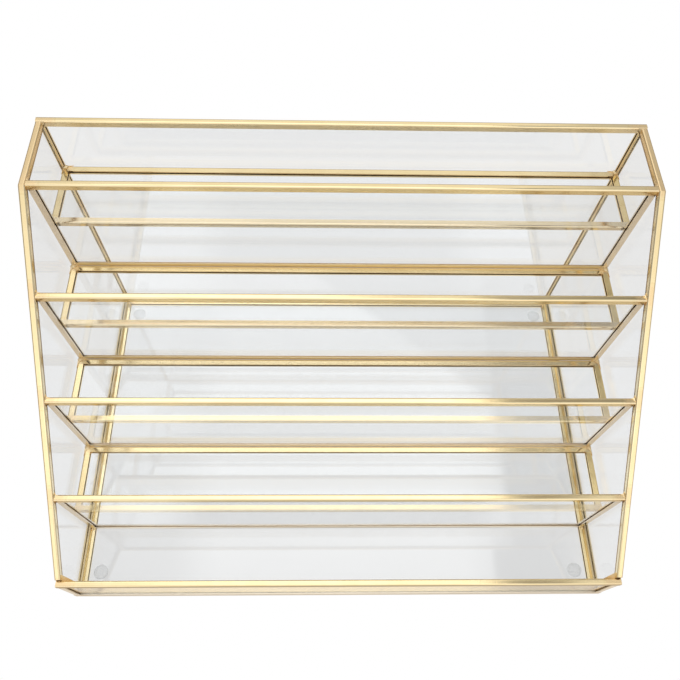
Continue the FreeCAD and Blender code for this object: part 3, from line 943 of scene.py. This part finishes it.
def floor_material(stage):
    """White floor where the camera sees it; behind glass and in reflections it glows, with painted shade under
    the rack.
    """
    material, tree = new_material("Pale floor")
    place = node(tree, "TexCoord").outputs["Object"]
    away = node(tree, "VectorMath", {0: place}, operation="ABSOLUTE").outputs[0]
    spot = node(tree, "SeparateXYZ", {0: away}).outputs
    under = product(tree, fall(tree, spot[0], HALF_WIDTH - 4 * MM, HALF_WIDTH),
                    fall(tree, spot[1], BACK - 2 * MM, BACK + 2 * MM))
    cloud = node(tree, "TexNoise", {"Vector": place, "Scale": 3.0, "Detail": 2.0}).outputs[0]
    base = Vector(stage.floor)
    shade = blend(tree, cloud, colour(base), colour(base * 0.985))
    shader = node(tree, "BsdfPrincipled", {"Base Color": shade, "Roughness": 0.9, "Specular IOR Level": 0.0})

    path = node(tree, "LightPath").outputs
    bounced = calc(tree, "MINIMUM", path["Glossy Depth"], 1.0)
    # Painted shade and light on the glowing floor: darker under the rack and at its sides, brighter behind more
    # panes
    most_panes, lift_behind_panes, lift_at_sides, shade_at_sides = 10.0, 0.65, 0.3, 0.89
    dark = stage.mirrored_floor
    mirrored = remap(tree, path["Transmission Depth"], 0.0, most_panes, dark, dark + lift_behind_panes,
                     smooth=False)
    lift = remap(tree, spot[0], 0.5 * HALF_WIDTH, 0.75 * HALF_WIDTH, 0.0, lift_at_sides)
    mirrored = grey(tree, calc(tree, "ADD", mirrored, lift))
    # Beside the rack, the floor seen in reflections glows in a warm painted colour
    mirrored = blend(tree, under, colour(stage.mirrored_beside), mirrored)
    sides = product(tree, under, remap(tree, spot[0], 0.45 * HALF_WIDTH, 0.7 * HALF_WIDTH))
    seen = grey(tree, remap(tree, sides, 0.0, 1.0, 1.0, shade_at_sides, smooth=False))
    glow = node(tree, "Emission", {"Color": blend(tree, bounced, seen, mirrored), "Strength": 1.0})
    direct = calc(tree, "MULTIPLY_ADD", path["Is Transmission Ray"], stage.floor_glow, path["Is Camera Ray"])
    direct = calc(tree, "MAXIMUM", direct, bounced)
    show(tree, node(tree, "MixShader", {0: direct, 1: shader.outputs[0], 2: glow.outputs[0]}))
    return material


def studio_world(stage):
    """Soft white room with a large lit panel overhead and a dark strip to the right of it.

    A direction is placed on a ceiling one unit up: across runs to the right, and along runs to the back.
    """
    world = bpy.data.worlds.new("Studio")
    world.use_nodes = True
    tree = world.node_tree
    tree.nodes.clear()
    way = node(tree, "SeparateXYZ", {0: node(tree, "TexCoord").outputs["Generated"]}).outputs
    height = calc(tree, "MAXIMUM", way[2], 0.05)
    across, along = calc(tree, "DIVIDE", way[0], height), calc(tree, "DIVIDE", way[1], height)

    def past(value, start):
        return calc(tree, "MAXIMUM", calc(tree, "SUBTRACT", value, start), 0.0)

    # The lit panel, whose sides lean in behind and in front of its widest place
    widest = 0.42
    right = calc(tree, "MULTIPLY_ADD", past(along, widest), 1.2, across)
    left = calc(tree, "MULTIPLY_ADD", past(widest, along), -0.68, across)
    panel = product(tree, remap(tree, left, -0.64, -0.3), fall(tree, right, 0.255, 0.285),
                    remap(tree, along, 0.08, 0.3, 0.5, 1.0), remap(tree, along, -0.8, -0.3),
                    fall(tree, along, 0.6, 0.84))

    # The dark strip, and a short notch that it cuts in the panel
    far = calc(tree, "SUBTRACT", across, past(along, 0.2))
    strip = product(tree, remap(tree, across, 0.265, 0.285), fall(tree, far, 0.3, 0.36),
                    remap(tree, along, -0.5, -0.1), fall(tree, along, 0.55, 0.85))
    notch = product(tree, remap(tree, across, 0.235, 0.255), fall(tree, across, 0.345, 0.37),
                    remap(tree, along, 0.0, 0.06), fall(tree, along, 0.17, 0.24))
    panel = product(tree, panel, dim(tree, notch, 0.0))
    strip = calc(tree, "MAXIMUM", strip, notch)

    # The wall in front, dark straight ahead and far to the sides
    ahead = fall(tree, along, -0.8, -0.3)
    forward = calc(tree, "MAXIMUM", calc(tree, "MULTIPLY", way[1], -1.0), 0.05)
    turned = calc(tree, "DIVIDE", calc(tree, "ABSOLUTE", way[0]), forward)
    straight = product(tree, fall(tree, along, -2.6, -1.1), fall(tree, turned, 0.12, 0.34))
    aside = product(tree, ahead, remap(tree, turned, 0.75, 1.15))

    right_wall = calc(tree, "MAXIMUM", remap(tree, across, 0.38, 0.62, 1.0, 0.6), ahead)
    left_wall = calc(tree, "MAXIMUM", remap(tree, across, -0.8, -0.3, 0.66, 1.0), ahead)
    far_left = remap(tree, across, -3.5, -1.2, 0.6, 1.0)
    horizon = remap(tree, way[2], 0.08, 0.24, 0.6, 1.0)
    rear_wall = remap(tree, along, 1.15, 2.6, 1.0, 0.55)
    front_wall = remap(tree, along, -1.7, -0.5, 1.3, 1.0)
    room = product(tree, dim(tree, aside, 0.5), right_wall, left_wall, far_left, horizon,
                   dim(tree, strip, 0.38), dim(tree, straight, 0.5), rear_wall, front_wall)
    light = calc(tree, "MULTIPLY_ADD", panel, stage.panel, calc(tree, "MULTIPLY", room, stage.sky))

    # The backdrop stays plain for the camera, also through glass
    path = node(tree, "LightPath").outputs
    unbounced = calc(tree, "SUBTRACT", 1.0, calc(tree, "MINIMUM", path["Glossy Depth"], 1.0))
    seen = product(tree, path["Is Transmission Ray"], unbounced)
    seen = calc(tree, "MAXIMUM", path["Is Camera Ray"], seen)
    backdrop = 0.95
    light = remap(tree, seen, 0.0, 1.0, light, backdrop, smooth=False)
    back = node(tree, "Background", {"Color": (1, 1, 1, 1), "Strength": light})
    node(tree, "OutputWorld", {"Surface": back.outputs[0]})
    return world


class RACK_OT_stage(bpy.types.Operator):
    """Set up the floor, the light and the camera"""
    bl_idname = "rack.stage"
    bl_label = "Stage"

    floor_gap = 0.3 * MM
    sensor = 36.0
    nearest, furthest = 0.01, 50.0

    def execute(self, context):
        scene = context.scene
        stage = scene.rack_stage
        shape = bmesh.new()
        bmesh.ops.create_grid(shape, x_segments=2, y_segments=2, size=stage.floor_reach)
        bmesh.ops.translate(shape, verts=shape.verts, vec=DOWN * self.floor_gap)
        mesh = bpy.data.meshes.new("floor")
        shape.to_mesh(mesh)
        shape.free()
        mesh.materials.append(floor_material(stage))
        floor = bpy.data.objects.new("floor", mesh)
        scene.collection.objects.link(floor)

        scene.world = studio_world(stage)
        lamp = bpy.data.lights.new("front_fill", "AREA")
        lamp.shape = "RECTANGLE"
        lamp.size, lamp.size_y = stage.fill_width, stage.fill_height
        lamp.energy = stage.fill
        front_fill = bpy.data.objects.new("front_fill", lamp)
        front_fill.location = stage.fill_place
        aim = Vector(stage.fill_target) - Vector(stage.fill_place)
        front_fill.rotation_euler = aim.to_track_quat("-Z", "Y").to_euler()
        scene.collection.objects.link(front_fill)

        lens = bpy.data.cameras.new("camera")
        lens.sensor_width = self.sensor
        lens.sensor_fit = "HORIZONTAL"
        lens.lens = stage.lens
        lens.clip_start, lens.clip_end = self.nearest, self.furthest
        camera = bpy.data.objects.new("camera", lens)
        camera.location = stage.place
        camera.rotation_euler = Euler(stage.turn)
        scene.collection.objects.link(camera)
        scene.camera = camera
        scene.view_settings.view_transform = "Standard"
        return {"FINISHED"}


class RACK_PT_looks(bpy.types.Panel):
    """Lists the rack's finishes and the operators that put them on"""
    bl_idname = "RACK_PT_looks"
    bl_label = "Display Rack"
    bl_space_type = "VIEW_3D"
    bl_region_type = "UI"
    bl_category = "Rack"

    def draw(self, context):
        for settings in (context.scene.rack_finish, context.scene.rack_solder, context.scene.rack_stage):
            box = self.layout.box()
            for key in settings.__annotations__:
                box.prop(settings, key)
        for operator in OPERATORS:
            self.layout.operator(operator.bl_idname)


OPERATORS = (RACK_OT_riser_rails, RACK_OT_shelf_rails, RACK_OT_outer_rails, RACK_OT_posts_and_ring,
             RACK_OT_solder, RACK_OT_panes, RACK_OT_bumpers, RACK_OT_stage)
SETTINGS = {"rack_finish": RackFinish, "rack_solder": RackSolder, "rack_stage": RackStage}


def register():
    """Registers the classes and puts the settings on the scene."""
    for kind in (*SETTINGS.values(), *OPERATORS, RACK_PT_looks):
        bpy.utils.register_class(kind)
    for key, kind in SETTINGS.items():
        setattr(bpy.types.Scene, key, bpy.props.PointerProperty(type=kind))


def unregister():
    """Takes the settings off the scene and unregisters the classes."""
    for key in SETTINGS:
        delattr(bpy.types.Scene, key)
    for kind in reversed((*SETTINGS.values(), *OPERATORS, RACK_PT_looks)):
        bpy.utils.unregister_class(kind)


def main():
    """Registers the add-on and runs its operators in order."""
    register()
    bpy.ops.rack.riser_rails()
    bpy.ops.rack.shelf_rails()
    bpy.ops.rack.outer_rails()
    bpy.ops.rack.posts_and_ring()
    bpy.ops.rack.solder()
    bpy.ops.rack.panes()
    bpy.ops.rack.bumpers()
    bpy.ops.rack.stage()


if __name__ == "__main__":
    main()
